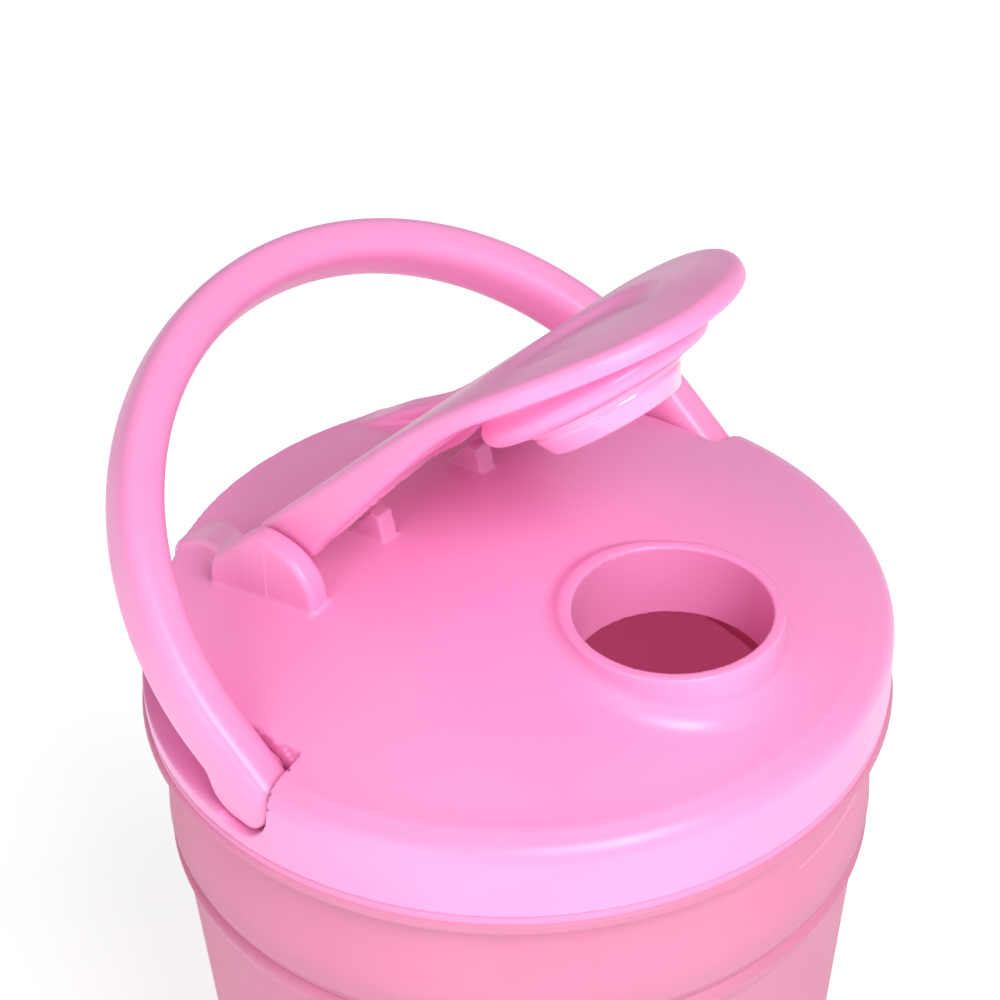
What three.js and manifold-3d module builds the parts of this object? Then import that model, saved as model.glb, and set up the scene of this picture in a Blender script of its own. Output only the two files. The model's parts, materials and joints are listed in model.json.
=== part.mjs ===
// Protein shaker bottle: a tapered cup, a screw lid with a drinking spout, a flip cap on a wide
// hinge, a carry loop pivoted on the sides of the lid, and a wire whisk ball inside.
// Units are millimetres. Origin: middle of the cup's resting face. +Z up, the spout is on the
// -Y side of the lid and the cap hinge on the +Y side, with its axis along X.
import * as THREE from "three";
import { mergeVertices } from "three/addons/utils/BufferGeometryUtils.js";
import { ConvexGeometry } from "three/addons/geometries/ConvexGeometry.js";
import Module from "manifold-3d";

const wasm = await Module();
wasm.setup();

// ---- driving dimensions -------------------------------------------------------------------
const SEAM_Z = 160; // height of the joint between cup and lid
const AROUND = 64; // facets round the big turned parts

// cup
const COLLAR_R = 49.9; // wide collar that takes the lid's screw skirt
const COLLAR_BORE_R = 48.1;
const COLLAR_LIP_Z = SEAM_Z - 1.5;
const COLLAR_FOOT_Z = SEAM_Z - 25;
const CUP_TOP_R = 47.2; // outside of the tapered wall, just under the collar
const CUP_TAPER = 0.06; // radius lost per millimetre going down
const CUP_WALL = 1.8;
const CUP_FLOOR = 2.6;
const FOOT_ROUND = 3;

// screw thread, one start, right handed
const THREAD_PITCH = 6;
const THREAD_STEPS = 32; // sections per turn
const RIB_R = 1.1;
const LID_THREAD = { radius: 46.6, sunk: -1.05, low: SEAM_Z - 14.4, turns: 1.5 };
const CUP_THREAD = { radius: 48.2, sunk: 1.15, low: SEAM_Z - 11.9, turns: 1.25 };

// lid
const LID_R = 50;
const LID_SIDE_H = 7.55; // straight side above the seam
const LID_FILLET_R = 3.3; // rounds the side into the crown
const LID_FILLET_H = 3.35;
const CROWN_R = LID_R - LID_FILLET_R;
const CROWN_BASE = LID_SIDE_H + LID_FILLET_H;
const CROWN_RISE = 10; // domed top
const LID_WALL = 2.2;
const SKIRT_R = 46.7;
const SKIRT_BORE_R = 44.4;
const SKIRT_DEPTH = 17;
const RIM_BORE_R = 41; // inside of the rim above the skirt

// spout
const SPOUT_Y = -25.8;
const SPOUT_R = 14.27;
const SPOUT_BORE_R = 12.66;
const SPOUT_TOP_Z = SEAM_Z + 20.9;

// hinge ears and the two small gussets between them
const EAR_IN = 22.7;
const EAR_OUT = 26.2;
const GUSSET_IN = 8.4;
const GUSSET_OUT = 11.3;

// flip cap: hinge line, angle it stands open, and sizes in its own closed frame
const HINGE_Y = 20.5;
const HINGE_Z = SEAM_Z + 18.4;
const CAP_OPEN_DEG = 38;
const TRUNNION_R = 1.4;
const SOCKET_R = 1.55;
const CAP_HALF = 22.3; // half width of the arm, and radius of its round front
const CAP_SKIN = 1.4;
const LUG = 19.5; // the hinge lugs lie outside this distance from the middle
const DISC_S = HINGE_Y - SPOUT_Y; // from the hinge to the middle of the round front
const RIM_UNDER = 8.2; // underside of the round front, above the hinge line
const SEAT_R = 15.5; // ring that lands on the spout's rim
const SEAT_LOW = 2.8;
const DISH_R = 12.5; // dished top over the spout
const DISH_LOW = 9.5;
const STUB_R = 7.4; // holds the seal
const SEAL_R = 11.5;

// carry loop
const PIVOT_Y = 4.1;
const PIVOT_Z = SEAM_Z + 7.8;
const LOOP_UP_DEG = 39.7;
const LOOP_R = 49.4; // outer radius of the bow
const LOOP_W = 6.4;
const LOOP_H = 8.6;
const LOOP_LEG = 7.5; // straight part, from the pivot to the bow
const LOOP_END_R = 5.5;
const PIN_R = 2;
const PIN_SOCKET_R = 2.15;
const PIN_TIP_X = 39.6;
const RECESS_Z = SEAM_Z + 2.7; // ledge the lowered loop lies on
const RECESS_HALF = 42.5;
const RECESS_R = 46.9; // the ledge runs on round the back of the crown
const NOTCH_Y = -0.5; // end face of the recess above its round pocket

// gasket and whisk ball
const GASKET = { inner: 47.2, outer: 49.2, low: SEAM_Z - 1.2, high: SEAM_Z - 0.3 };
const BALL_R = 20;
const WIRE_R = 1.05;
const BALL_TURNS = 7;
const BALL_Z = CUP_FLOOR + 0.8 + BALL_R; // middle of the ball, resting on the cup's floor

// ---- helpers ------------------------------------------------------------------------------
function solid(geometry) {
  const g = geometry.clone();
  g.deleteAttribute("normal");
  g.deleteAttribute("uv");
  const m = mergeVertices(g, 1e-4);
  const made = new wasm.Manifold(
    new wasm.Mesh({
      numProp: 3,
      vertProperties: new Float32Array(m.attributes.position.array),
      triVerts: new Uint32Array(m.index.array),
    }),
  );
  return made;
}

function toMesh(name, body, colour, rough, opacity = 1) {
  const m = body.getMesh();
  const g = new THREE.BufferGeometry();
  g.setAttribute("position", new THREE.BufferAttribute(new Float32Array(m.vertProperties), 3));
  g.setIndex(new THREE.BufferAttribute(new Uint32Array(m.triVerts), 1));
  const flat = g.toNonIndexed();
  flat.computeVertexNormals();
  const material = new THREE.MeshStandardMaterial({
    color: colour,
    roughness: rough,
    transparent: opacity < 1,
    opacity,
  });
  const mesh = new THREE.Mesh(flat, material);
  mesh.name = name;
  return mesh;
}

// Turned solid: [radius, z] pairs, from the axis at the top, down the outside and back inside.
function turned(pairs, segments = AROUND, y = 0) {
  const points = pairs.map(([r, z]) => new THREE.Vector2(r, z)).reverse();
  const g = new THREE.LatheGeometry(points, segments);
  g.rotateX(Math.PI / 2);
  g.translate(0, y, 0);
  return solid(g);
}

// Plate whose outline lies in XY, from z = low to z = high.
function plateXY(points, low, high) {
  const shape = new THREE.Shape(points.map(([x, y]) => new THREE.Vector2(x, y)));
  const g = new THREE.ExtrudeGeometry(shape, { depth: high - low, bevelEnabled: false });
  g.translate(0, 0, low);
  return solid(g);
}

// Slab whose outline lies in YZ, from x = low to x = high; side -1 puts it on the -X side.
function slabYZ(points, near, far, side = 1) {
  const low = side > 0 ? near : -far;
  const high = side > 0 ? far : -near;
  const shape = new THREE.Shape(points.map(([y, z]) => new THREE.Vector2(y, z)));
  const g = new THREE.ExtrudeGeometry(shape, { depth: high - low, bevelEnabled: false });
  const turn = new THREE.Matrix4().makeBasis(
    new THREE.Vector3(0, 1, 0),
    new THREE.Vector3(0, 0, 1),
    new THREE.Vector3(1, 0, 0),
  );
  g.applyMatrix4(turn);
  g.translate(low, 0, 0);
  return solid(g);
}

// Rod along X between two distances from the middle plane.
function rodX(y, z, radius, near, far, side = 1, facets = 24) {
  const g = new THREE.CylinderGeometry(radius, radius, far - near, facets);
  g.rotateZ(Math.PI / 2);
  g.translate((side * (near + far)) / 2, y, z);
  return solid(g);
}

function box(x0, x1, y0, y1, z0, z1) {
  const g = new THREE.BoxGeometry(x1 - x0, y1 - y0, z1 - z0);
  g.translate((x0 + x1) / 2, (y0 + y1) / 2, (z0 + z1) / 2);
  return solid(g);
}

function arc(cx, cy, r, from, to, steps) {
  const out = [];
  for (let i = 0; i <= steps; i++) {
    const t = from + ((to - from) * i) / steps;
    out.push([cx + r * Math.cos(t), cy + r * Math.sin(t)]);
  }
  return out;
}

// Bar of a given outline drawn along a curve.
function drawn(outline, path, steps) {
  const shape = new THREE.Shape(outline.map(([x, y]) => new THREE.Vector2(x, y)));
  return solid(new THREE.ExtrudeGeometry(shape, { steps, extrudePath: path, bevelEnabled: false }));
}

function roundOutline(radius, count, turn = 0) {
  return arc(0, 0, radius, turn, turn + 2 * Math.PI, count).slice(0, count);
}

// Helix for a thread rib; it runs out into the wall at both ends.
class ThreadPath extends THREE.Curve {
  constructor({ radius, sunk, low, turns }) {
    super();
    Object.assign(this, { radius, sunk, low, turns });
  }

  getPoint(t, target = new THREE.Vector3()) {
    const end = Math.min(t, 1 - t) * this.turns * 8;
    const r = this.radius + this.sunk * (1 - Math.min(1, end));
    const angle = 2 * Math.PI * this.turns * t;
    const z = this.low + THREAD_PITCH * this.turns * t;
    return target.set(r * Math.cos(angle), r * Math.sin(angle), z);
  }
}

function thread(size) {
  const steps = Math.round(size.turns * THREAD_STEPS);
  return drawn(roundOutline(RIB_R, 6, Math.PI / 6), new ThreadPath(size), steps);
}

// Outside of the crown at radius r.
function crown(r) {
  const k = Math.min(1, r / CROWN_R);
  return SEAM_Z + CROWN_BASE + CROWN_RISE * (1 - k * k);
}

// ---- cup ----------------------------------------------------------------------------------
function cupWall(z) {
  return CUP_TOP_R - CUP_TAPER * (COLLAR_FOOT_Z - z);
}

function makeCup() {
  const foot = cupWall(FOOT_ROUND);
  const shell = turned([
    [0, CUP_FLOOR + 0.4],
    [foot - CUP_WALL - 4, CUP_FLOOR + 0.4],
    [foot - CUP_WALL - 1.2, CUP_FLOOR + 1.4],
    [cupWall(8) - CUP_WALL, 8],
    [CUP_TOP_R - CUP_WALL, COLLAR_FOOT_Z],
    [CUP_TOP_R - CUP_WALL + 0.3, COLLAR_FOOT_Z + 2],
    [COLLAR_BORE_R - 0.8, COLLAR_FOOT_Z + 4.4],
    [COLLAR_BORE_R, COLLAR_FOOT_Z + 5.4],
    [COLLAR_BORE_R, COLLAR_LIP_Z - 0.4],
    [COLLAR_BORE_R + 0.4, COLLAR_LIP_Z],
    [COLLAR_R - 0.4, COLLAR_LIP_Z],
    [COLLAR_R, COLLAR_LIP_Z - 0.4],
    [COLLAR_R, COLLAR_FOOT_Z + 12],
    [COLLAR_R - 0.5, COLLAR_FOOT_Z + 4.2],
    [COLLAR_R - 1.1, COLLAR_FOOT_Z + 1.9],
    [CUP_TOP_R + 0.5, COLLAR_FOOT_Z + 0.2],
    [CUP_TOP_R, COLLAR_FOOT_Z - 0.8],
    [foot, FOOT_ROUND],
    [foot - 0.8, 1],
    [foot - FOOT_ROUND, 0],
    [33.5, 0],
    [32.5, 0.8],
    [28.5, 0.8],
    [27.5, 0],
    [0, 0],
  ]);
  const skin = turned([
    [0, COLLAR_LIP_Z - 1],
    [COLLAR_R - 0.5, COLLAR_LIP_Z - 1],
    [COLLAR_R - 0.5, COLLAR_FOOT_Z + 6],
    [0, COLLAR_FOOT_Z + 6],
  ]);
  return shell.add(thread(CUP_THREAD).intersect(skin));
}

// ---- lid ----------------------------------------------------------------------------------
function lidShell() {
  const top = [];
  for (let i = 0; i <= 6; i++) {
    const r = (CROWN_R * i) / 6;
    top.push([r, crown(r)]);
  }
  const fillet = [];
  for (let i = 1; i <= 4; i++) {
    const t = (Math.PI / 2) * (1 - i / 4);
    fillet.push([
      CROWN_R + LID_FILLET_R * Math.cos(t),
      SEAM_Z + LID_SIDE_H + LID_FILLET_H * Math.sin(t),
    ]);
  }
  const under = [];
  for (let i = 5; i >= 0; i--) {
    const r = ((RIM_BORE_R - 1.5) * i) / 5;
    under.push([r, crown(r) - LID_WALL]);
  }
  return turned([
    ...top,
    ...fillet,
    [LID_R, SEAM_Z + 0.5],
    [LID_R - 0.5, SEAM_Z],
    [SKIRT_R, SEAM_Z],
    [SKIRT_R, SEAM_Z - SKIRT_DEPTH + 0.6],
    [SKIRT_R - 0.6, SEAM_Z - SKIRT_DEPTH],
    [SKIRT_BORE_R, SEAM_Z - SKIRT_DEPTH],
    [SKIRT_BORE_R, SEAM_Z + 0.2],
    [RIM_BORE_R, SEAM_Z + 0.2],
    [RIM_BORE_R, SEAM_Z + 9],
    ...under,
  ]);
}

// What the loop needs: all outside a U as wide as the loop's inside, behind a round pocket
// that its end turns in.
function recessCutter() {
  const bowY = PIVOT_Y + LOOP_LEG;
  const keep = plateXY(
    [[RECESS_HALF, -20], ...arc(0, bowY, RECESS_HALF, 0, Math.PI, 40), [-RECESS_HALF, -20]],
    RECESS_Z - 1,
    SEAM_Z + 31,
  );
  const crownEdge = turned([
    [0, SEAM_Z + 32],
    [RECESS_R, SEAM_Z + 32],
    [RECESS_R, SEAM_Z],
    [0, SEAM_Z],
  ]);
  const ledge = box(-60, 60, PIVOT_Y, 60, RECESS_Z, SEAM_Z + 30);
  const above = box(-60, 60, NOTCH_Y, 60, PIVOT_Z, SEAM_Z + 30);
  const pocket = (side) => rodX(PIVOT_Y, PIVOT_Z, LOOP_END_R + 0.35, RECESS_HALF, 60, side, 32);
  return ledge.add(above).subtract(keep.intersect(crownEdge)).add(pocket(1)).add(pocket(-1));
}

function makeEar(side) {
  const fin = slabYZ(
    [
      [11.9, SEAM_Z + 15.6],
      [11.9, SEAM_Z + 18.4],
      [12.5, SEAM_Z + 20.8],
      [13.9, SEAM_Z + 22.9],
      [15.9, SEAM_Z + 24.3],
      [18.6, SEAM_Z + 25.1],
      [21.6, SEAM_Z + 25.2],
      [23.7, SEAM_Z + 24],
      [30, SEAM_Z + 17.8],
      [30, SEAM_Z + 13.2],
      [24, SEAM_Z + 14.2],
    ],
    EAR_IN,
    EAR_OUT,
    side,
  );
  const web = [
    [EAR_IN, 20, 24.9],
    [EAR_IN, 22.6, 24.8],
    [EAR_OUT, 23.4, 24],
    [21.4, 30, 18.3],
    [24.4, 29.6, 17.8],
    [EAR_IN, 20, 14.6],
    [EAR_OUT, 19.4, 14.4],
    [20.6, 30, 13],
    [24.6, 30, 12],
  ];
  const tail = [
    [21.6, 29, 18.6],
    [24.3, 29, 18],
    [20.6, 29, 13],
    [24.6, 29, 12],
    [17.8, 36, 15.4],
    [21.4, 36, 14.4],
    [17, 36, 11],
    [22, 36, 11],
    [15.6, 41.6, 11.8],
    [19.6, 41.2, 11.3],
    [15.4, 41.6, 9.8],
    [20, 41.2, 9.6],
  ];
  const hull = (points) =>
    solid(new ConvexGeometry(points.map(([x, y, z]) => new THREE.Vector3(side * x, y, SEAM_Z + z))));
  const bay = box(-EAR_IN, EAR_IN, 10, HINGE_Y + 8.4, SEAM_Z, SEAM_Z + 30);
  return fin.add(hull(web).add(hull(tail)).subtract(bay));
}

function makeGusset(side) {
  return slabYZ(
    [
      [12.7, SEAM_Z + 18.4],
      [12.8, SEAM_Z + 20],
      [13.6, SEAM_Z + 23.8],
      [15.2, SEAM_Z + 23.9],
      [19.6, SEAM_Z + 18.2],
      [19.6, SEAM_Z + 17.6],
    ],
    GUSSET_IN,
    GUSSET_OUT,
    side,
  );
}

function makeLid() {
  const spout = turned(
    [
      [0, SPOUT_TOP_Z],
      [SPOUT_R - 0.5, SPOUT_TOP_Z],
      [SPOUT_R, SPOUT_TOP_Z - 0.5],
      [SPOUT_R, SEAM_Z + 12.4],
      [0, SEAM_Z + 12.4],
    ],
    48,
    SPOUT_Y,
  );
  const bore = turned(
    [
      [0, SPOUT_TOP_Z + 5],
      [SPOUT_BORE_R + 0.5, SPOUT_TOP_Z + 5],
      [SPOUT_BORE_R + 0.5, SPOUT_TOP_Z - 0.01],
      [SPOUT_BORE_R, SPOUT_TOP_Z - 0.5],
      [SPOUT_BORE_R, SEAM_Z + 4],
      [0, SEAM_Z + 4],
    ],
    48,
    SPOUT_Y,
  );
  let lid = lidShell().subtract(recessCutter()).add(spout);
  lid = lid.add(thread(LID_THREAD));
  for (const side of [1, -1]) {
    lid = lid.add(makeEar(side));
    lid = lid.add(makeGusset(side));
    lid = lid.add(rodX(PIVOT_Y, PIVOT_Z, 4.4, 37.6, 42.6, side));
    lid = lid.subtract(rodX(HINGE_Y, HINGE_Z, SOCKET_R, EAR_IN - 1, EAR_IN + 2.3, side));
    lid = lid.subtract(rodX(PIVOT_Y, PIVOT_Z, PIN_SOCKET_R, PIN_TIP_X - 0.3, 46, side));
  }
  return lid.subtract(bore);
}

// ---- flip cap, built closed; s = distance from the hinge towards the spout, n = height above
// the hinge line ----------------------------------------------------------------------------
const capPoint = ([s, n]) => [HINGE_Y - s, HINGE_Z + n];

const CAP_UPPER = [
  [-1.5, 2],
  [-1.5, 4.2],
  [-1.2, 5.6],
  [-0.2, 6.5],
  [3, 6.9],
  [11, 7.8],
  [20, 8.8],
  [29, 9.9],
  [38, 10.8],
  [46, 11.1],
  [54, 10.6],
  [62, 9.4],
  [70, 7.7],
];
const CAP_LOWER = [
  [70, 5],
  [62, 6.6],
  [54, 7.7],
  [46, RIM_UNDER],
  [39, 7.6],
  [34, 6.6],
  [25, 4.6],
  [17.5, 2.8],
  [10.4, 1.1],
  [5, -0.7],
  [0.6, -1.1],
  [-0.6, -0.9],
  [-1.1, -0.2],
];

// Straight sides with a round front, seen from above.
function capOutline(inset) {
  const front = HINGE_Y - DISC_S;
  const half = CAP_HALF - inset;
  return [
    [half, HINGE_Y + 1.5],
    [-half, HINGE_Y + 1.5],
    ...arc(0, front, half, Math.PI, 2 * Math.PI, 28),
  ];
}

function makeCapBody() {
  const low = HINGE_Z - 9;
  const high = HINGE_Z + 14;
  const sides = [...CAP_UPPER, ...CAP_LOWER].map(capPoint);
  let body = plateXY(capOutline(0), low, high).intersect(slabYZ(sides, -30, 30));

  // wall across the cap, bowed towards the spout, between two hollows
  const line = (back) => {
    const out = [];
    for (let i = -8; i <= 8; i++) {
      const a = (21 * i) / 8;
      out.push([a, HINGE_Y - (13.2 - 3.4 * (a / CAP_HALF) ** 2 - back)]);
    }
    return out;
  };
  const ceiling = CAP_UPPER.slice(4).map(([s, n]) => capPoint([s, n - CAP_SKIN]));
  const skinned = slabYZ(
    [capPoint([1, 5.3]), ...ceiling, capPoint([70, -12]), capPoint([1, -12])],
    -30,
    30,
  );
  const inside = plateXY(capOutline(1.9), low, high).intersect(skinned);
  const rear = plateXY([...line(1.3), [21, HINGE_Y - 0.8], [-21, HINGE_Y - 0.8]], low, high);
  const front = plateXY([...line(0), [21, HINGE_Y - 30], [-21, HINGE_Y - 30]], low, high);
  const rib = box(-1.1, 1.1, HINGE_Y - 31, HINGE_Y - 12, low, high);
  body = body.subtract(inside.intersect(rear));
  body = body.subtract(inside.intersect(front).subtract(rib));
  body = body.subtract(box(-LUG, LUG, HINGE_Y - 1, HINGE_Y + 9, low, high));

  // closed, everything clears the crown of the lid
  const dome = [];
  for (let i = 0; i <= 7; i++) {
    const r = (CROWN_R * i) / 7;
    dome.push([r, crown(r) + 0.45]);
  }
  body = body.subtract(turned([...dome, [CROWN_R, SEAM_Z], [0, SEAM_Z]]));

  const seat = turned(
    [
      [0, HINGE_Z + RIM_UNDER + 0.6],
      [SEAT_R - 1.4, HINGE_Z + RIM_UNDER + 0.6],
      [SEAT_R - 1.4, HINGE_Z + 6],
      [SEAT_R - 0.4, HINGE_Z + 5.4],
      [SEAT_R, HINGE_Z + 4.2],
      [SEAT_R - 0.3, HINGE_Z + SEAT_LOW + 0.6],
      [SEAT_R - 1.2, HINGE_Z + SEAT_LOW],
      [STUB_R, HINGE_Z + SEAT_LOW],
      [STUB_R, HINGE_Z + SEAT_LOW - 2.6],
      [0, HINGE_Z + SEAT_LOW - 2.6],
    ],
    48,
    SPOUT_Y,
  );
  const dish = turned(
    [
      [0, HINGE_Z + 14],
      [DISH_R + 0.8, HINGE_Z + 14],
      [DISH_R + 0.8, HINGE_Z + 11.3],
      [DISH_R, HINGE_Z + 10.7],
      [DISH_R - 2.4, HINGE_Z + DISH_LOW + 0.3],
      [DISH_R - 5, HINGE_Z + DISH_LOW],
      [0, HINGE_Z + DISH_LOW],
    ],
    48,
    SPOUT_Y,
  );
  body = body.add(seat).subtract(dish);
  for (const side of [1, -1]) {
    body = body.add(rodX(HINGE_Y, HINGE_Z, TRUNNION_R, CAP_HALF - 0.5, EAR_IN + 2, side));
  }
  return body;
}

function makeSeal() {
  const seat = HINGE_Z + SEAT_LOW - 0.3;
  return turned(
    [
      [0, seat - 2.6],
      [STUB_R + 0.3, seat - 2.6],
      [STUB_R + 0.3, seat],
      [SEAL_R - 0.6, seat],
      [SEAL_R, seat - 0.9],
      [SEAL_R - 0.2, seat - 2.3],
      [SEAL_R - 1.2, seat - 3.7],
      [SEAL_R - 3.2, seat - 4.6],
      [0, seat - 4.6],
    ],
    48,
    SPOUT_Y,
  );
}

// ---- carry loop, built lowered -------------------------------------------------------------
class BowArc extends THREE.Curve {
  getPoint(t, target = new THREE.Vector3()) {
    const mid = LOOP_R - LOOP_W / 2;
    const angle = Math.PI * t;
    const y = PIVOT_Y + LOOP_LEG + mid * Math.sin(angle);
    return target.set(mid * Math.cos(angle), y, PIVOT_Z);
  }
}

function makeLoop() {
  const mid = LOOP_R - LOOP_W / 2;
  const bowY = PIVOT_Y + LOOP_LEG;
  const outline = roundOutline(1, 16, Math.PI / 16).map(([c, s]) => [
    (LOOP_H / 2) * Math.sign(c) * Math.abs(c) ** 0.6,
    (LOOP_W / 2) * Math.sign(s) * Math.abs(s) ** 0.6,
  ]);
  const leg = (side, low, high) =>
    new THREE.LineCurve3(
      new THREE.Vector3(side * mid, low, PIVOT_Z),
      new THREE.Vector3(side * mid, high, PIVOT_Z),
    );
  const path = new THREE.CurvePath();
  path.add(leg(1, PIVOT_Y - 6, bowY));
  path.add(new BowArc());
  path.add(leg(-1, bowY, PIVOT_Y - 6));
  const ends = rodX(PIVOT_Y, PIVOT_Z, LOOP_END_R, -60, 60, 1, 36);
  const rest = box(-60, 60, PIVOT_Y, PIVOT_Y + 80, PIVOT_Z - 10, PIVOT_Z + 10);
  let loop = drawn(outline, path, 44).intersect(ends.add(rest));

  // the ends are fuller below, where they turn in the lid's pockets
  const below = box(-60, 60, PIVOT_Y - 10, PIVOT_Y + 4, PIVOT_Z - 10, PIVOT_Z + 1);
  for (const side of [1, -1]) {
    const boss = rodX(PIVOT_Y, PIVOT_Z, LOOP_END_R, LOOP_R - LOOP_W + 0.9, LOOP_R - 0.5, side, 36);
    loop = loop.add(boss.intersect(below));
    loop = loop.add(rodX(PIVOT_Y, PIVOT_Z, PIN_R, PIN_TIP_X, mid, side));
  }
  return loop;
}

// ---- gasket and whisk ball -----------------------------------------------------------------
function makeGasket() {
  const { inner, outer, low, high } = GASKET;
  return turned([
    [inner, high],
    [outer, high],
    [outer, low],
    [inner, low],
    [inner, high],
  ]);
}

// One wire wound from pole to pole over a sphere.
class BallPath extends THREE.Curve {
  getPoint(t, target = new THREE.Vector3()) {
    const polar = Math.PI * (0.06 + 0.88 * t);
    const angle = 2 * Math.PI * BALL_TURNS * t;
    const r = BALL_R - WIRE_R;
    return target.set(
      r * Math.sin(polar) * Math.cos(angle),
      r * Math.sin(polar) * Math.sin(angle),
      BALL_Z - r * Math.cos(polar),
    );
  }
}

function makeBall() {
  return drawn(roundOutline(WIRE_R, 6), new BallPath(), 168);
}

// ---- assembly ------------------------------------------------------------------------------
// A group that turns what it holds about a line along X.
function swung(y, z, degrees, meshes) {
  const pivot = new THREE.Group();
  pivot.position.set(0, y, z);
  pivot.rotation.x = (degrees * Math.PI) / 180;
  for (const mesh of meshes) {
    mesh.position.set(0, -y, -z);
    pivot.add(mesh);
  }
  return pivot;
}

const capMeshes = [
  toMesh("flip_cap", makeCapBody(), 0xf9a8de, 0.38),
  toMesh("spout_seal", makeSeal(), 0xf59bd2, 0.15),
];
const loopMesh = toMesh("carry_loop", makeLoop(), 0xfbacdf, 0.36);
const ballMesh = toMesh("whisk_ball", makeBall(), 0xc9ccd0, 0.25);
ballMesh.material.metalness = 1;

const group = new THREE.Group();
group.name = "protein_shaker_bottle";
group.add(toMesh("cup", makeCup(), 0xf5a3c9, 0.45, 0.7));
group.add(toMesh("lid", makeLid(), 0xfba8df, 0.38));
group.add(toMesh("lid_gasket", makeGasket(), 0xe58abf, 0.6));
group.add(swung(HINGE_Y, HINGE_Z, -CAP_OPEN_DEG, capMeshes));
group.add(swung(PIVOT_Y, PIVOT_Z, LOOP_UP_DEG, [loopMesh]));
group.add(ballMesh);

export default group;
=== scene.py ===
"""Protein shaker bottle: the looks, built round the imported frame.

Fields and outlines are in millimetres, with z measured from the seam between cup and lid; meshes
are made in metres in the frame's own axes. The moulded pieces (lid, cap, loop) are distance fields
with real fillets, turned into meshes; the cup, seal and gasket are turned; the ball is a wire.
"""
import json
import math

import bpy
import numpy as np
from mathutils import Matrix, Vector


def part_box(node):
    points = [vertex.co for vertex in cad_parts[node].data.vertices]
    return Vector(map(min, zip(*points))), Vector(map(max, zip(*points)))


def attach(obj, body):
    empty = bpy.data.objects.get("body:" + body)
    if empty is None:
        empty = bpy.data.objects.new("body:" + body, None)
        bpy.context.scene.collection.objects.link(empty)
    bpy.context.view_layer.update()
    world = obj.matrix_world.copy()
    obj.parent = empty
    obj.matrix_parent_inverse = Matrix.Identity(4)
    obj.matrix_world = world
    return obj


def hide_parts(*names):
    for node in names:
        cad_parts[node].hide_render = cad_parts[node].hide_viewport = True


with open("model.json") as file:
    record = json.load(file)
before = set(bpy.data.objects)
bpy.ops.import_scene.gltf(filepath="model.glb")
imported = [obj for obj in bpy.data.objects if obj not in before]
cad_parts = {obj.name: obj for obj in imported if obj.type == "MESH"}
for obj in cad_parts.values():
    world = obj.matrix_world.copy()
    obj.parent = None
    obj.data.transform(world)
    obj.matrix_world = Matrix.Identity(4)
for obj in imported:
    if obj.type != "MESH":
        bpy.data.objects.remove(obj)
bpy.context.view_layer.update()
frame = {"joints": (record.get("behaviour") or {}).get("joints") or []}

MM = 0.001

# ---- places from the frame -----------------------------------------------------------------
JOINTS = {j["name"]: j for j in frame["joints"]}
SEAM = JOINTS["lid_turn"]["pos_m"][2] / MM
HINGE_Y = JOINTS["flip_cap_hinge"]["pos_m"][1] / MM
HINGE_Z = JOINTS["flip_cap_hinge"]["pos_m"][2] / MM - SEAM
CAP_OPEN = -JOINTS["flip_cap_hinge"]["range_deg"][0]
PIVOT_Y = JOINTS["carry_loop_hinge"]["pos_m"][1] / MM
PIVOT_Z = JOINTS["carry_loop_hinge"]["pos_m"][2] / MM - SEAM
LOOP_UP = -JOINTS["carry_loop_hinge"]["range_deg"][0]

# ---- driving dimensions --------------------------------------------------------------------
LID_R = 50.0
CROWN_R = 46.7  # the crown is a paraboloid that drops CROWN_RISE over this radius
CROWN_BASE = 10.9
CROWN_RISE = 10.0
RIM_ROUND = 3.3
WALL = 2.2
SKIRT_R, SKIRT_BORE_R, SKIRT_DEPTH = 46.7, 44.4, 17.0
RIM_BORE_R = 41.0
RECESS_R, RECESS_HALF, RECESS_Z, NOTCH_Y = 46.9, 42.5, 2.7, -1.2
SPOUT_Y = -25.8
SPOUT_R, SPOUT_BORE_R, SPOUT_TOP = 14.27, 12.66, 20.9
EAR_IN, EAR_OUT = 22.7, 26.2
GUSSET_IN, GUSSET_OUT = 8.4, 11.3
TRUNNION_R, SOCKET_R = 1.4, 1.55
PIN_R, PIN_HOLE_R = 2.0, 2.15
CAP_HALF, CAP_SKIN, LUG = 22.3, 1.4, 19.5
SEAT_R, SEAT_LOW = 15.5, 2.8
DISH_R, DISH_LOW = 12.5, 9.5
STUB_R, SEAL_R = 7.4, 11.5
CAP_CLEAR = 0.45  # gap that the cap's underside keeps above the crown
LOOP_R, LOOP_W, LOOP_H, LOOP_LEG, LOOP_END_R = 49.4, 6.4, 8.6, 7.5, 5.5
PITCH = 6.0
CUP_TOP_R, CUP_TAPER = 47.2, 0.06
BALL_R, WIRE_R, BALL_TURNS = 20.0, 1.05, 7


# ---- distance fields -----------------------------------------------------------------------
def join(a, b, fillet=0.0):
    """Both solids, with a fillet in the corner between them."""
    if not fillet:
        return np.minimum(a, b)
    corner = np.hypot(np.maximum(fillet - a, 0), np.maximum(fillet - b, 0))
    return np.maximum(fillet, np.minimum(a, b)) - corner


def meet(a, b, round_off=0.0):
    """What is in both solids, with the edge between them rounded."""
    if not round_off:
        return np.maximum(a, b)
    edge = np.hypot(np.maximum(round_off + a, 0), np.maximum(round_off + b, 0))
    return np.minimum(-round_off, np.maximum(a, b)) + edge


def cut(a, b, round_off=0.0):
    """The first solid without the second."""
    return meet(a, -b, round_off)


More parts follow.
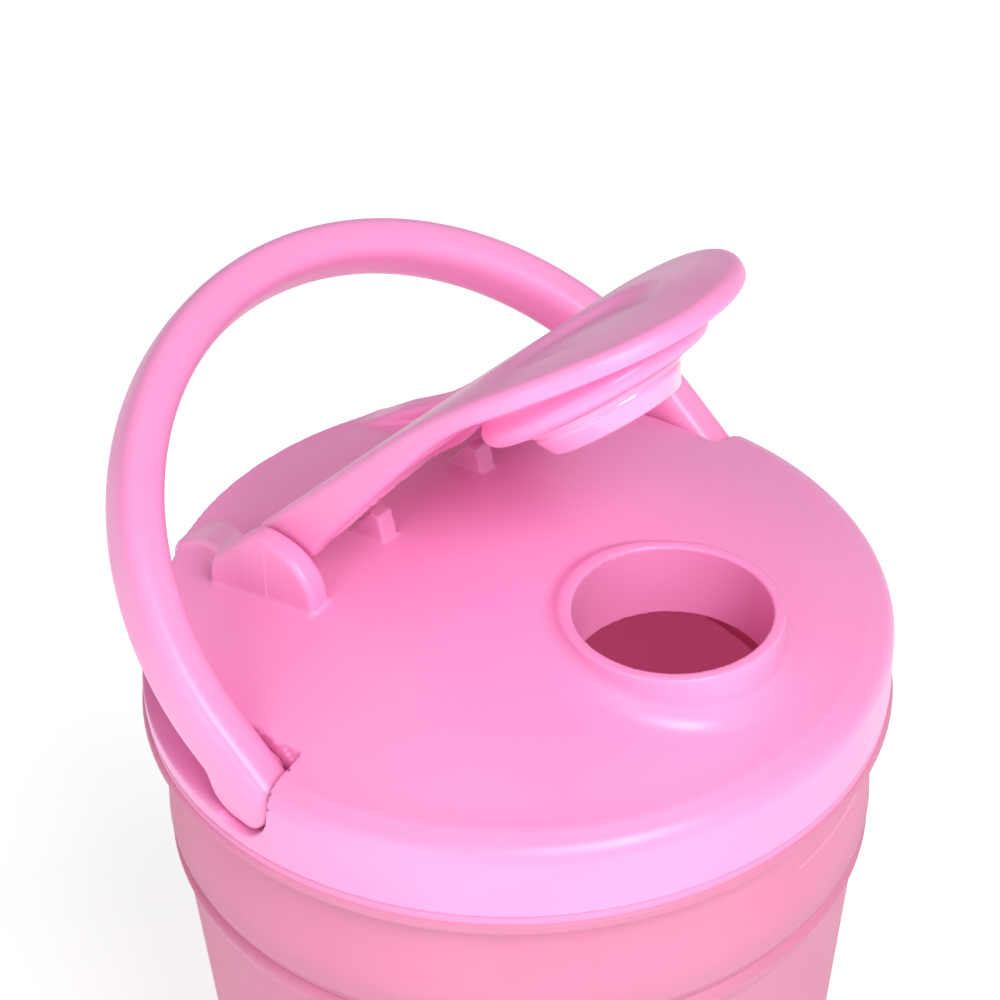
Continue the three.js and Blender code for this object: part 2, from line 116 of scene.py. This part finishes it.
def polygon(points, u, v):
    """Signed distance to a closed outline."""
    nearest = np.full(np.broadcast(u, v).shape, 1e9)
    inside = np.zeros(nearest.shape, bool)
    for (au, av), (bu, bv) in zip(points, points[1:] + points[:1]):
        eu, ev = bu - au, bv - av
        t = np.clip(((u - au) * eu + (v - av) * ev) / (eu * eu + ev * ev), 0, 1)
        nearest = np.minimum(nearest, (u - au - eu * t) ** 2 + (v - av - ev * t) ** 2)
        if ev:
            inside ^= ((av > v) != (bv > v)) & (u < au + eu * (v - av) / ev)
    return np.where(inside, -1, 1) * np.sqrt(nearest)


def smooth(points, steps=5):
    """A closed Catmull-Rom outline through the points."""
    p = np.array(points, float)
    before, after, beyond = np.roll(p, 1, 0), np.roll(p, -1, 0), np.roll(p, -2, 0)
    out = []
    for i in range(len(p)):
        for k in range(steps):
            t = k / steps
            out.append(
                0.5 * (2 * p[i] + (after[i] - before[i]) * t
                       + (2 * before[i] - 5 * p[i] + 4 * after[i] - beyond[i]) * t ** 2
                       + (3 * p[i] - before[i] - 3 * after[i] + beyond[i]) * t ** 3)
            )
    return [tuple(q) for q in out]


def slab(outline, w, low, high, round_off):
    """An outline's field, made solid between low and high along w."""
    return meet(outline, np.abs(w - (low + high) / 2) - (high - low) / 2, round_off)


def ease(t):
    """From 0 to 1 as t does, level at both ends."""
    t = np.clip(t, 0, 1)
    return t * t * (3 - 2 * t)


def along(s, points):
    """A smooth curve through (s, value) points."""
    at, value = np.array(points, float).T
    slope = np.gradient(value, at)
    s = np.clip(s, at[0], at[-1])
    i = np.clip(np.searchsorted(at, s, side="right") - 1, 0, len(at) - 2)
    h = at[i + 1] - at[i]
    t = (s - at[i]) / h
    start = (1 - t) ** 2 * ((1 + 2 * t) * value[i] + t * h * slope[i])
    end = t ** 2 * ((3 - 2 * t) * value[i + 1] + (t - 1) * h * slope[i + 1])
    return start + end


def rib(x, y, z, low, turns):
    """Height of a screw thread's rib on a wall, from 0 to 1; it runs out at both ends."""
    turn = (np.arctan2(y, x) / (2 * math.pi)) % 1
    height = np.zeros(np.broadcast(x, y, z).shape)
    for n in range(math.ceil(turns)):
        t = turn + n
        ends = ease(np.minimum(t, turns - t) * 10)
        across = ease(1.35 - np.abs(z - low - PITCH * t) / 1.1)
        height = np.maximum(height, ends * across)
    return height


# ---- meshes from fields --------------------------------------------------------------------
def sampled(field, low, high, step):
    """The field on a fine grid; blocks far from the surface keep one value each."""
    block = 4
    counts = [math.ceil((h - l) / step / block) for l, h in zip(low, high)]
    middles = [l + step * block * (np.arange(c) + 0.5) for l, c in zip(low, counts)]
    coarse = field(*np.meshgrid(*middles, indexing="ij"))
    near = np.argwhere(np.abs(coarse) < step * (block * 0.87 * 1.5 + 1))
    values = coarse.repeat(block, 0).repeat(block, 1).repeat(block, 2)
    offsets = np.arange(block)
    for part in np.array_split(near, max(1, len(near) // 3000)):
        i, j, k = (part[:, a, None] * block + offsets for a in range(3))
        i, j, k = i[:, :, None, None], j[:, None, :, None], k[:, None, None, :]
        x, y, z = (l + step * (n + 0.5) for l, n in zip(low, (i, j, k)))
        values[i, j, k] = field(*np.broadcast_arrays(x, y, z))
    return values


def slope_at(field, points):
    """Value and gradient of the field at each point."""
    h = 0.02
    gradient = np.empty_like(points)
    for a in range(3):
        ahead, behind = points.copy(), points.copy()
        ahead[:, a] += h
        behind[:, a] -= h
        gradient[:, a] = (field(*ahead.T) - field(*behind.T)) / (2 * h)
    return field(*points.T), gradient


def moulded(name, field, low, high, step, place):
    """A closed mesh of the surface where the field is 0, with the field's own normals."""
    values = sampled(field, low, high, step)
    inside = values < 0
    corners = [inside[a:a - 1 or None, b:b - 1 or None, c:c - 1 or None]
               for a in (0, 1) for b in (0, 1) for c in (0, 1)]
    mixed = np.logical_or.reduce(corners) & ~np.logical_and.reduce(corners)
    number = np.full(mixed.shape, -1)
    number[mixed] = np.arange(mixed.sum())
    points = np.array(low) + step * (np.argwhere(mixed) + 1.0)
    quads = []
    for a in range(3):
        b, c = (a + 1) % 3, (a + 2) % 3
        order = np.moveaxis(inside, (a, b, c), (0, 1, 2))[:, 1:-1, 1:-1]
        cell = np.moveaxis(number, (a, b, c), (0, 1, 2))
        change = order[:-1] != order[1:]
        around = [cell[:, :-1, :-1], cell[:, 1:, :-1], cell[:, 1:, 1:], cell[:, :-1, 1:]]
        loop = np.stack([n[change] for n in around], 1)
        inwards = ~order[:-1][change]
        loop[inwards] = loop[inwards][:, ::-1]
        quads.append(loop)
    quads = np.concatenate(quads)
    for _ in range(5):
        value, gradient = slope_at(field, points)
        move = gradient * (value / np.maximum((gradient ** 2).sum(1), 0.2))[:, None]
        points -= np.clip(move, -0.6 * step, 0.6 * step)
    normals = slope_at(field, points)[1]
    normals /= np.maximum(np.linalg.norm(normals, axis=1), 1e-9)[:, None]
    turn = np.array(place.to_3x3())
    points = points @ turn.T + np.array(place.translation)
    mesh = bpy.data.meshes.new(name)
    mesh.from_pydata(points * MM, [], quads.tolist())
    mesh.polygons.foreach_set("use_smooth", np.ones(len(mesh.polygons), bool))
    mesh.normals_split_custom_set_from_vertices(normals @ turn.T)
    return added(name, mesh)


def added(name, mesh):
    ob = bpy.data.objects.new(name, mesh)
    bpy.context.scene.collection.objects.link(ob)
    return ob


def swung(y, z, degrees):
    """Places a piece built about the seam, then turns it about a line along X."""
    to = Matrix.Translation((0, y, z + SEAM))
    return to @ Matrix.Rotation(math.radians(degrees), 4, "X") @ Matrix.Translation((0, -y, -z))


# ---- turned meshes -------------------------------------------------------------------------
def rounded(corners, steps=5):
    """An open or closed profile: each (r, z, radius) corner becomes an arc of that radius."""
    out = []
    for k, (r, z, radius) in enumerate(corners):
        here = Vector((r, z))
        if not radius:
            out.append(here)
            continue
        before = (Vector(corners[k - 1][:2]) - here).normalized()
        after = (Vector(corners[(k + 1) % len(corners)][:2]) - here).normalized()
        half = before.angle(after) / 2
        reach = radius / math.tan(half)
        middle = here + (before + after).normalized() * (radius / math.sin(half))
        start, end = here + before * reach - middle, here + after * reach - middle
        for i in range(steps + 1):
            t = i / steps
            out.append(middle + start.slerp(end, t))
    return out


def turned(name, profile, segments, place, closed=False, shift=None):
    """A mesh turned about Z. Points on the axis become one vertex; shift may move a point's radius."""
    verts, rings = [], []
    for p in profile:
        if abs(p[0]) < 1e-6:
            rings.append([len(verts)] * segments)
            verts.append((0, 0, p[1]))
            continue
        ring = []
        for k in range(segments):
            a = 2 * math.pi * k / segments
            r = p[0] + (shift(a, p[0], p[1]) if shift else 0)
            ring.append(len(verts))
            verts.append((r * math.cos(a), r * math.sin(a), p[1]))
        rings.append(ring)
    pairs = list(zip(rings, rings[1:] + rings[:1]))
    faces = []
    for upper, lower in pairs if closed else pairs[:-1]:
        for k in range(segments):
            n = (k + 1) % segments
            loop = [upper[k], lower[k], lower[n], upper[n]]
            faces.append(list(dict.fromkeys(loop)))
    mesh = bpy.data.meshes.new(name)
    mesh.from_pydata([place @ Vector(v) * MM for v in verts], [], faces)
    mesh.polygons.foreach_set("use_smooth", np.ones(len(mesh.polygons), bool))
    return added(name, mesh)


# ---- lid -----------------------------------------------------------------------------------
EAR = smooth([(11.7, 13), (11.7, 17.4), (12.2, 20.7), (13.8, 22.9), (16, 24.4), (19, 25.1),
              (21.6, 25.1), (24, 23.8), (27.5, 20.4), (30, 17.6), (30, 13), (22, 12)])
TAIL_TOP = [(20, 24.9), (22.5, 24.8), (24, 23.7), (26, 21.9), (28, 20.1), (30, 18.5), (32, 17.4),
            (34, 16.5), (36, 15.6), (38, 14.4), (40, 13.1), (42, 11.8), (44, 10.2)]
GUSSET = [(12.7, 15), (12.7, 20), (13.6, 23.4), (15.2, 23.5), (19.6, 18.2), (19.8, 15)]


def above_crown(r, z):
    """Height above the crown's surface."""
    return z - CROWN_BASE - CROWN_RISE * (1 - (r / CROWN_R) ** 2)


def lid_shell(x, y, z, r):
    """Domed crown with its rim, hollow below, and the screw skirt with its thread."""
    fall = np.sqrt(1 + (2 * CROWN_RISE * r / CROWN_R ** 2) ** 2)
    crown = above_crown(r, z) / fall
    side = meet(r - LID_R, z - CROWN_BASE, RIM_ROUND)
    outer = meet(join(side, meet(crown, r - CROWN_R, 0.3), 1.6), -z, 0.5)
    thread = 1.1 * rib(x, y, z, -14.4, 1.5)
    skirt = meet(r - SKIRT_R - thread, -SKIRT_DEPTH - z, 0.5)
    outer = join(outer, np.maximum(skirt, z - 1), 0.3)
    head = np.maximum(meet(crown + WALL, r - RIM_BORE_R, 3), -z)
    return cut(outer, np.minimum(head, np.maximum(r - SKIRT_BORE_R, z - 0.2)), 0.4)


def loop_recess(x, y, z):
    """Ledge the loop lies on, the notches beside its ends and the round pockets they turn in."""
    beyond = RECESS_HALF - np.hypot(x, np.maximum(y - PIVOT_Y - LOOP_LEG, 0))
    beyond = np.minimum(beyond, RECESS_R - np.hypot(x, y))
    ledge = meet(beyond, np.maximum(PIVOT_Y - y, RECESS_Z - z), 0.5)
    above = meet(beyond, np.maximum(NOTCH_Y - y, PIVOT_Z - z), 0.5)
    pocket = np.maximum(np.hypot(y - PIVOT_Y, z - PIVOT_Z) - LOOP_END_R - 0.35,
                        RECESS_HALF - np.abs(x))
    return np.minimum(np.minimum(ledge, above), pocket)


def ear(ax, y, z):
    """Upright fin that holds the cap, with a tail that fairs into the back of the crown."""
    fin = slab(polygon(EAR, y, z), ax, EAR_IN, EAR_OUT, 0.9)
    t = np.clip((y - 22) / 20, 0, 1)
    middle = 24.45 - 6.9 * ease(t * 1.02)
    half = 1.75 + 1.5 * t
    top = along(y, TAIL_TOP)
    tail = meet(np.abs(ax - middle) - half, (z - top) * 0.8, 1.0)
    tail = np.maximum(tail, np.maximum(20 - y, y - 43))
    tail = cut(tail, np.maximum(ax - EAR_IN, y - HINGE_Y - 8.4), 0.4)
    return join(fin, np.maximum(tail, 8 - z), 0.3)


def lid_field(x, y, z):
    """The whole lid: shell, recess, spout, ears, gussets, hinge sockets and the loop's pin holes."""
    r, ax = np.hypot(x, y), np.abs(x)
    body = cut(lid_shell(x, y, z, r), loop_recess(x, y, z), 0.35)
    spout_r = np.hypot(x, y - SPOUT_Y)
    tube = np.maximum(meet(spout_r - SPOUT_R, z - SPOUT_TOP, 0.4), 10 - z)
    body = join(body, tube, 2.4)
    body = join(body, np.maximum(ear(ax, y, z), 9 - z), 0.7)
    gusset = slab(polygon(GUSSET, y, z), ax, GUSSET_IN, GUSSET_OUT, 0.35)
    body = join(body, gusset, 0.4)
    boss = np.maximum(np.hypot(y - PIVOT_Y, z - PIVOT_Z) - 4.4, np.abs(ax - 40.1) - 2.5)
    body = join(body, boss, 0.4)
    socket = np.maximum(np.hypot(y - HINGE_Y, z - HINGE_Z) - SOCKET_R, np.abs(ax - 23.35) - 1.65)
    pin_hole = np.maximum(np.hypot(y - PIVOT_Y, z - PIVOT_Z) - PIN_HOLE_R, np.abs(ax - 42.5) - 3.3)
    body = cut(cut(body, socket), pin_hole)
    return cut(body, np.maximum(spout_r - SPOUT_BORE_R, 4 - z), 0.4)


# ---- flip cap, in its closed place; s runs from the hinge towards the spout, n is the height
# above the hinge line ------------------------------------------------------------------------
CAP_UPPER = [(-2, 6.1), (0, 6.5), (3, 6.9), (11, 7.8), (20, 8.8), (29, 9.9), (38, 10.8),
             (46, 11.1), (54, 10.6), (62, 9.4), (70, 7.7)]
CAP_LOWER = [(-2, -1.0), (0.6, -1.1), (5, -0.7), (10.4, 1.1), (17.5, 2.8), (25, 4.6), (34, 6.6),
             (39, 7.6), (46, 8.2), (54, 7.7), (62, 6.6), (70, 5)]


def cap_field(x, y, z):
    """Arm and round front in one sheet, hollow under the arm, with the seat ring and trunnions."""
    s, n, ax = HINGE_Y - y, z - HINGE_Z, np.abs(x)
    disc_s = HINGE_Y - SPOUT_Y
    upper, lower = along(s, CAP_UPPER), along(s, CAP_LOWER)
    plan = np.hypot(x, np.maximum(s - disc_s, 0)) - CAP_HALF
    body = meet(meet(n - upper, plan, 1.2), lower - n, 1.0)
    body = meet(body, -1.5 - s, 1.2)

    # wall across, bowed towards the spout, between two hollows
    under = meet(n - upper + CAP_SKIN, plan + 1.9, 0.6)
    wall = 13.2 - 3.4 * (ax / CAP_HALF) ** 2
    rear = meet(under, s - wall + 1.3, 0.5)
    front = meet(meet(under, np.maximum(wall - s, s - 30), 0.5), 1.1 - ax, 0.3)
    body = cut(cut(body, rear, 0.3), front, 0.3)
    body = cut(body, np.maximum(ax - LUG, s - 1), 0.4)

    # ring that lands on the spout's rim, stub for the seal, and the dished top
    disc_r = np.hypot(x, y - SPOUT_Y)
    ring = meet(disc_r - SEAT_R + 1.1 * ease((n - 4.6) / 2.2), SEAT_LOW - n, 1.7)
    stub = np.maximum(disc_r - STUB_R, 0.3 - n)
    ring = np.maximum(join(ring, stub, 0.3), n - 8.8)
    body = join(body, ring, 0.6)
    dish = meet(disc_r - DISH_R, DISH_LOW - n, 2.6)
    body = cut(body, dish, 0.9)
    trunnion = np.maximum(np.hypot(s, n) - TRUNNION_R, np.abs(ax - 23.2) - 1.45)
    body = join(body, trunnion)
    return np.maximum(body, CAP_CLEAR - above_crown(np.hypot(x, y), z) * 0.93)


# ---- carry loop, lowered -------------------------------------------------------------------
def loop_field(x, y, z):
    """U-shaped bar of rounded-rectangle section, with a boss and a pin at each end."""
    ax, n = np.abs(x), z - PIVOT_Z
    u = np.hypot(x, np.maximum(y - PIVOT_Y - LOOP_LEG, 0)) - (LOOP_R - LOOP_W / 2)
    power = 3.0
    section = (np.abs(2 * u / LOOP_W) ** power + np.abs(2 * n / LOOP_H) ** power) ** (1 / power)
    bar = (section - 1) * LOOP_W / 2
    end = np.hypot(y - PIVOT_Y, n) - LOOP_END_R
    body = meet(bar, np.minimum(PIVOT_Y - y, end), 0.5)
    boss = meet(end, np.abs(ax - LOOP_R + 2.6) - 2.2, 1.2)
    body = join(body, np.maximum(np.maximum(boss, n - 0.5), y - PIVOT_Y - 4.5), 0.4)
    pin = np.maximum(np.hypot(y - PIVOT_Y, n) - PIN_R, np.abs(ax - 43.2) - 3.6)
    return join(body, pin)


# ---- pieces --------------------------------------------------------------------------------
def make_lid():
    ob = moulded("lid_shell", lid_field, (-51, -51, -18), (51, 51, 27), 0.5, swung(0, 0, 0))
    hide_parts("lid")
    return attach(ob, "lid")


def make_cap():
    place = swung(HINGE_Y, HINGE_Z, -CAP_OPEN)
    low, high = (-25.5, -50, 14), (25.5, 25, 31)
    ob = moulded("flip_cap_shell", cap_field, low, high, 0.42, place)
    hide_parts("flip_cap")
    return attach(ob, "flip_cap")


def make_seal():
    """Glossy plug with a soft bulge, hollow towards the stub that holds it."""
    z = HINGE_Z + SEAT_LOW - 0.25
    profile = rounded([
        (0, z - 2.4, 0), (7.7, z - 2.4, 0.3), (7.7, z, 0.3), (SEAL_R - 0.5, z, 0.7),
        (SEAL_R + 0.25, z - 2.0, 2.2), (SEAL_R - 2.6, z - 4.6, 1.6), (0, z - 4.4, 0),
    ], 8)
    place = swung(HINGE_Y, HINGE_Z, -CAP_OPEN) @ Matrix.Translation((0, SPOUT_Y, 0))
    ob = turned("spout_seal_plug", profile, 96, place)
    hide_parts("spout_seal")
    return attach(ob, "flip_cap")


def make_loop():
    place = swung(PIVOT_Y, PIVOT_Z, LOOP_UP)
    low, high = (-51, -3, 1.5), (51, 63, 13)
    ob = moulded("carry_loop_bar", loop_field, low, high, 0.5, place)
    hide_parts("carry_loop")
    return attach(ob, "carry_loop")


def make_cup():
    """Frosted cup: tapered wall, wide collar with the screw thread inside, foot ring."""
    def wall(z):
        return CUP_TOP_R + CUP_TAPER * (z + 25)
    thick, foot, bore = 1.8, -SEAM, 48.1
    outline = [
        (0, foot + 3, 0), (wall(foot) - thick, foot + 3, 4), (CUP_TOP_R - thick, -25, 1),
        (47.3, -20.6, 1.5), (bore, -19.6, 0.8), (bore, -1.5, 0.3), (49.9, -1.5, 0.5),
        (49.9, -16, 12), (49.3, -23.8, 2.2), (CUP_TOP_R + 0.05, -26.2, 0.7),
        (wall(foot), foot, 3.4), (33.2, foot, 0.6), (32.5, foot + 0.8, 0.5),
        (28.5, foot + 0.8, 0.5), (27.8, foot, 0.6), (0, foot, 0),
    ]
    profile = rounded(outline, 6)
    fine = []
    for p, q in zip(profile, profile[1:] + [profile[-1]]):
        fine.append(p)
        on_thread = -19 < p.y < -1 and p.x < bore + 0.4
        count = int((q - p).length / (0.6 if on_thread else 6))
        fine += [p.lerp(q, (k + 1) / (count + 1)) for k in range(count)]

    def thread(a, r, z):
        if abs(r - bore) > 0.05:
            return 0
        return -1.0 * float(rib(math.cos(a), math.sin(a), z, -11.9, 1.25))

    ob = turned("cup_body", fine, 192, swung(0, 0, 0), shift=thread)
    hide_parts("cup")
    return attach(ob, "cup")


def make_gasket():
    profile = rounded([(47.2, -0.3, 0.3), (49.2, -0.3, 0.3), (49.2, -1.2, 0.3), (47.2, -1.2, 0.3)])
    ob = turned("gasket_ring", profile, 192, swung(0, 0, 0), closed=True)
    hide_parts("lid_gasket")
    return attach(ob, "gasket")


def make_ball():
    """One steel wire wound from pole to pole."""
    curve = bpy.data.curves.new("whisk_wire", "CURVE")
    curve.dimensions = "3D"
    curve.bevel_depth = WIRE_R * MM
    curve.bevel_resolution = 4
    curve.use_fill_caps = True
    spline = curve.splines.new("POLY")
    count = 560
    spline.points.add(count - 1)
    low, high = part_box("whisk_ball")
    centre = (low + high) / 2
    r = (BALL_R - WIRE_R) * MM
    for k in range(count):
        t = k / (count - 1)
        polar = math.pi * (0.06 + 0.88 * t)
        a = 2 * math.pi * BALL_TURNS * t
        flat = r * math.sin(polar)
        offset = Vector((flat * math.cos(a), flat * math.sin(a), -r * math.cos(polar)))
        spline.points[k].co = (*(centre + offset), 1)
    curve_ob = bpy.data.objects.new("whisk_wire_curve", curve)
    bpy.context.scene.collection.objects.link(curve_ob)
    mesh = bpy.data.meshes.new_from_object(curve_ob)
    mesh.name = "whisk_wire"
    bpy.data.objects.remove(curve_ob)
    mesh.polygons.foreach_set("use_smooth", np.ones(len(mesh.polygons), bool))
    ob = added("whisk_wire", mesh)
    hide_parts("whisk_ball")
    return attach(ob, "whisk_ball")


# ---- materials -----------------------------------------------------------------------------
class Shader:
    """A Principled material and short ways to add texture nodes to it."""

    def __init__(self, name):
        self.material = bpy.data.materials.new(name)
        self.material.use_nodes = True
        self.nodes = self.material.node_tree.nodes
        self.links = self.material.node_tree.links
        self.main = self.nodes["Principled BSDF"]
        self.place = self.nodes.new("ShaderNodeTexCoord").outputs["Object"]

    def set(self, **values):
        for key, value in values.items():
            self.main.inputs[key.replace("_", " ")].default_value = value

    def noise(self, scale, detail=3.0, stretch=None):
        node = self.nodes.new("ShaderNodeTexNoise")
        node.inputs["Scale"].default_value = scale
        node.inputs["Detail"].default_value = detail
        source = self.place
        if stretch:
            mapping = self.nodes.new("ShaderNodeMapping")
            mapping.inputs["Scale"].default_value = stretch
            self.links.new(source, mapping.inputs["Vector"])
            source = mapping.outputs["Vector"]
        self.links.new(source, node.inputs["Vector"])
        return node.outputs["Fac"]

    def spread(self, value, low, high, to_low, to_high):
        node = self.nodes.new("ShaderNodeMapRange")
        for key, number in (("From Min", low), ("From Max", high),
                            ("To Min", to_low), ("To Max", to_high)):
            node.inputs[key].default_value = number
        self.links.new(value, node.inputs["Value"])
        return node.outputs["Result"]

    def mix(self, value, first, second):
        node = self.nodes.new("ShaderNodeMix")
        node.data_type = "RGBA"
        self.links.new(value, node.inputs["Factor"])
        node.inputs["A"].default_value = (*first, 1)
        node.inputs["B"].default_value = (*second, 1)
        return node.outputs["Result"]

    def feed(self, value, socket):
        self.links.new(value, self.main.inputs[socket])

    def bump(self, value, strength, distance):
        node = self.nodes.new("ShaderNodeBump")
        node.inputs["Strength"].default_value = strength
        node.inputs["Distance"].default_value = distance
        self.links.new(value, node.inputs["Height"])
        self.links.new(node.outputs["Normal"], self.main.inputs["Normal"])
        return node.outputs["Normal"]


def moulded_plastic(name, light, deep, rough, gloss=0.0):
    """Satin polypropylene: faint cloudiness, uneven polish and a very fine moulded grain."""
    s = Shader(name)
    s.feed(s.mix(s.spread(s.noise(28, 2), 0.35, 0.65, 0, 1), light, deep), "Base Color")
    s.feed(s.spread(s.noise(90, 4), 0.3, 0.7, rough - 0.05, rough + 0.07), "Roughness")
    s.bump(s.noise(3800, 2), 0.10, 0.00006)
    s.set(IOR=1.49, Coat_Weight=gloss, Coat_Roughness=0.12)
    s.set(Subsurface_Weight=0.1, Subsurface_Radius=(1.0, 0.35, 0.6), Subsurface_Scale=0.003)
    return s.material


def frosted_plastic():
    """Translucent cup wall: a satin surface over a body that passes light through."""
    s = Shader("frosted_cup")
    light, deep = (0.88, 0.44, 0.64), (0.84, 0.38, 0.58)
    cloud = s.spread(s.noise(22, 3, (1, 1, 0.5)), 0.35, 0.65, 0, 1)
    s.feed(s.mix(cloud, light, deep), "Base Color")
    s.feed(s.spread(s.noise(120, 4), 0.3, 0.7, 0.36, 0.5), "Roughness")
    normal = s.bump(s.noise(2600, 3), 0.14, 0.00008)
    s.set(IOR=1.49)
    through = s.nodes.new("ShaderNodeBsdfTranslucent")
    through.inputs["Color"].default_value = (0.95, 0.42, 0.62, 1)
    s.links.new(normal, through.inputs["Normal"])
    blend = s.nodes.new("ShaderNodeMixShader")
    blend.inputs["Fac"].default_value = 0.45
    s.links.new(s.main.outputs["BSDF"], blend.inputs[1])
    s.links.new(through.outputs["BSDF"], blend.inputs[2])
    s.links.new(blend.outputs["Shader"], s.nodes["Material Output"].inputs["Surface"])
    return s.material


def steel():
    s = Shader("steel_wire")
    s.feed(s.mix(s.noise(300, 3), (0.62, 0.62, 0.64), (0.5, 0.5, 0.52)), "Base Color")
    s.feed(s.spread(s.noise(900, 4), 0.3, 0.7, 0.16, 0.3), "Roughness")
    s.bump(s.noise(2500, 2), 0.1, 0.00004)
    s.set(Metallic=1.0)
    return s.material


# ---- stage, light and camera ---------------------------------------------------------------
def make_floor():
    mesh = bpy.data.meshes.new("floor")
    half = 4.0
    mesh.from_pydata([(-half, -half, 0), (half, -half, 0), (half, half, 0), (-half, half, 0)],
                     [], [(0, 1, 2, 3)])
    floor = added("floor", mesh)
    s = Shader("pale_floor")
    s.feed(s.mix(s.noise(3, 2), (0.93, 0.93, 0.93), (0.95, 0.95, 0.95)), "Base Color")
    s.set(Roughness=0.8)
    s.set(Emission_Color=(1, 1, 1, 1), Emission_Strength=0.5)
    mesh.materials.append(s.material)


def make_lamp(name, place, target, size, power):
    light = bpy.data.lights.new(name, "AREA")
    light.shape = "RECTANGLE"
    light.size, light.size_y = size
    light.energy = power
    ob = bpy.data.objects.new(name, light)
    ob.location = place
    aim = Vector(target) - Vector(place)
    ob.rotation_mode = "QUATERNION"
    ob.rotation_quaternion = aim.to_track_quat("-Z", "Y")
    bpy.context.scene.collection.objects.link(ob)


def make_light():
    world = bpy.data.worlds.new("soft_white")
    world.use_nodes = True
    world.node_tree.nodes["Background"].inputs["Color"].default_value = (1, 1, 1, 1)
    world.node_tree.nodes["Background"].inputs["Strength"].default_value = 0.36
    bpy.context.scene.world = world
    lid = (0, 0, 0.175)
    make_lamp("front_softbox", (-0.25, -0.62, 0.85), lid, (0.45, 0.45), 7.2)
    make_lamp("left_softbox", (-0.8, -0.1, 0.45), lid, (0.4, 0.6), 1.6)


def make_camera():
    """At the photograph's viewing angle: about 50 degrees round from the spout, 36 down."""
    azimuth, pitch, roll = math.radians(49.3), 0.628, -0.023
    ahead = Vector((math.sin(azimuth) * math.cos(pitch), math.cos(azimuth) * math.cos(pitch),
                    -math.sin(pitch)))
    right = Vector((math.cos(azimuth), -math.sin(azimuth), 0))
    up = right.cross(ahead)
    turned_right = right * math.cos(roll) + up * math.sin(roll)
    turned_up = up * math.cos(roll) - right * math.sin(roll)
    camera = bpy.data.cameras.new("camera")
    camera.sensor_width = 36
    camera.lens = 100.8
    camera.clip_start, camera.clip_end = 0.01, 20
    ob = bpy.data.objects.new("camera", camera)
    turn = Matrix((turned_right, turned_up, -ahead)).transposed()
    ob.matrix_world = Matrix.Translation((-0.2230, -0.1895, 0.3985)) @ turn.to_4x4()
    bpy.context.scene.collection.objects.link(ob)
    bpy.context.scene.camera = ob


def build():
    bpy.context.scene.view_settings.view_transform = "Standard"
    make_camera()
    make_light()
    make_floor()
    pink = moulded_plastic("pink_plastic", (0.95, 0.34, 0.64), (0.94, 0.31, 0.61), 0.34)
    glossy = moulded_plastic("glossy_seal", (0.95, 0.38, 0.68), (0.94, 0.35, 0.65), 0.16, 0.6)
    soft = moulded_plastic("soft_gasket", (0.86, 0.30, 0.55), (0.84, 0.27, 0.52), 0.55)
    for ob, material in (
        (make_lid(), pink), (make_cap(), pink), (make_loop(), pink), (make_seal(), glossy),
        (make_gasket(), soft), (make_cup(), frosted_plastic()), (make_ball(), steel()),
    ):
        ob.data.materials.clear()
        ob.data.materials.append(material)


build()
